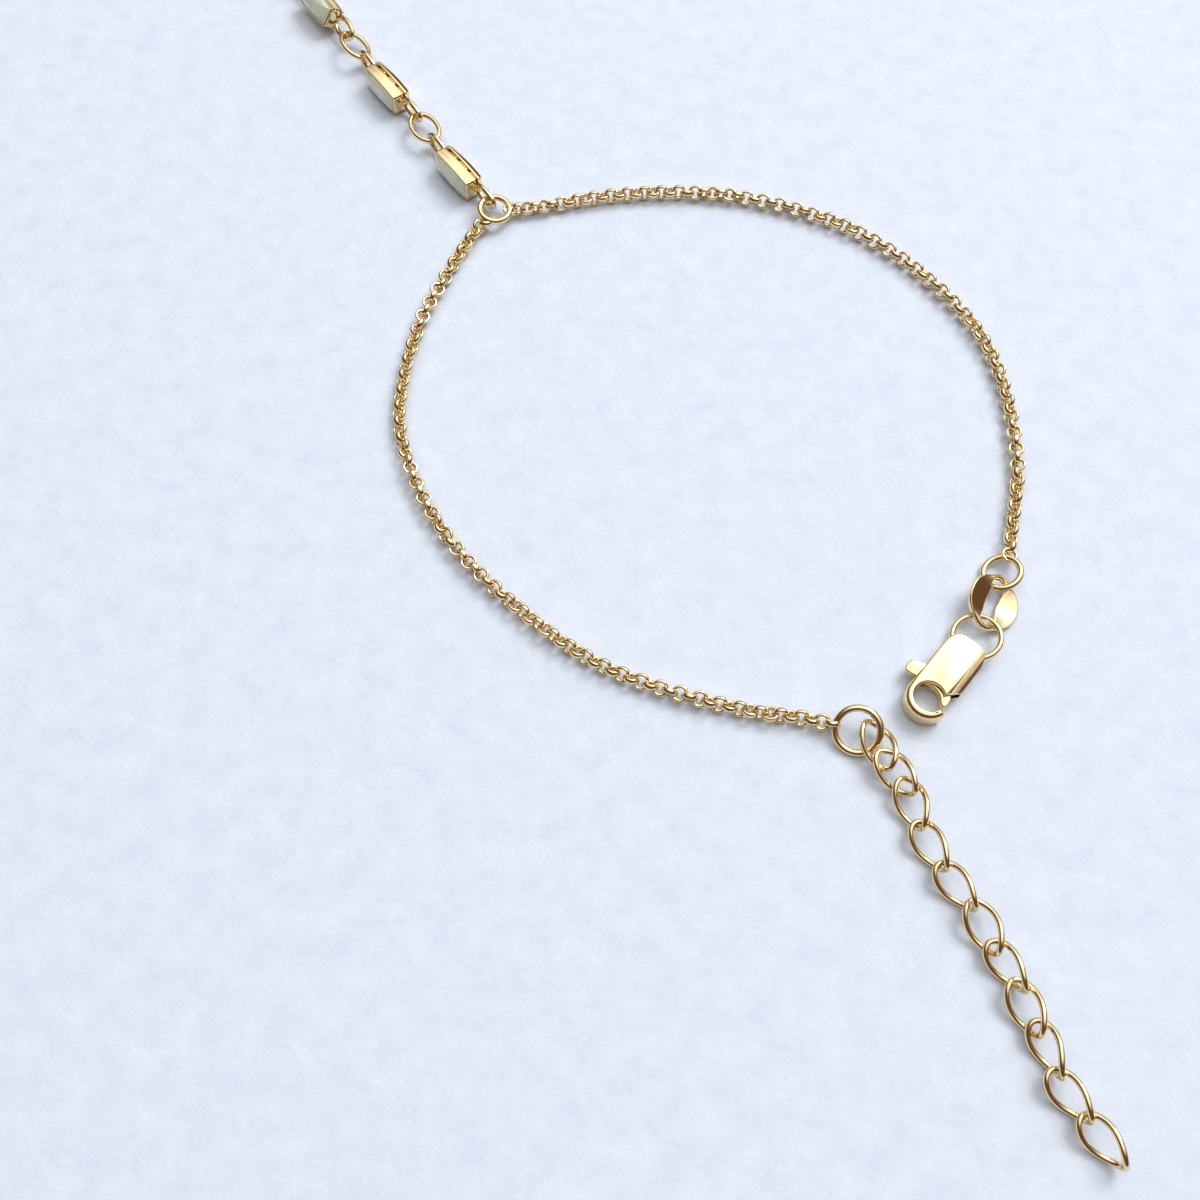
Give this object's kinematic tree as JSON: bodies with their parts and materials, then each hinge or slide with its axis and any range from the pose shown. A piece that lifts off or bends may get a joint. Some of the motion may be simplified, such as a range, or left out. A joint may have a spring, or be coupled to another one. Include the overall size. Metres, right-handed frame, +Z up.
{
  "type": "hand chain",
  "caption": "Gold hand chain: a fine rolo wrist chain with lobster clasp and extender, joined by a strand of opal barrel links to a finger ring, lying unclasped.",
  "frame": {"origin": "centre of the laid-out chain's box, on the surface it lies on", "axes": "+Z up from the surface, +Y along the strand's side towards the finger ring, -Y towards the extender's free end, +X towards the clasp"},
  "size_m": [0.1104, 0.171, 0.0032],
  "materials": {
    "gold": "polished",
    "opal": "milky polished cabochon"
  },
  "bodies": {
    "chain": {"joining_ring": "gold", "setting_1": "gold", "setting_2": "gold", "setting_3": "gold", "setting_4": "gold", "setting_5": "gold", "setting_6": "gold", "stone_1": "opal", "stone_2": "opal", "stone_3": "opal", "stone_4": "opal", "stone_5": "opal", "stone_6": "opal", "strand_oval_1": "gold", "strand_oval_2": "gold", "strand_oval_3": "gold", "strand_oval_4": "gold", "strand_oval_5": "gold", "strand_oval_6": "gold", "finger_ring": "gold", "wrist_chain_left": "gold", "wrist_chain_right": "gold", "chain_ring": "gold", "tag_link": "gold", "clasp_ring": "gold", "clasp_body": "gold", "extender_ring": "gold", "extender_link_1": "gold", "extender_link_2": "gold", "extender_link_3": "gold", "extender_link_4": "gold", "extender_link_5": "gold", "extender_link_6": "gold", "extender_link_7": "gold", "extender_link_8": "gold", "extender_link_9": "gold", "extender_link_10": "gold", "extender_link_11": "gold"},
    "clasp_lever": {"clasp_lever": "gold"}
  },
  "joints": [
    {"name": "clasp_lever_hinge", "type": "hinge", "parent": "chain", "child": "clasp_lever", "pos_m": [0.04494, -0.04871, 0.00103], "axis": [0, 0, -1], "range_deg": [0, 22], "stiffness_Nm_per_rad": 0.002, "springref_deg": -8.59}
  ]
}
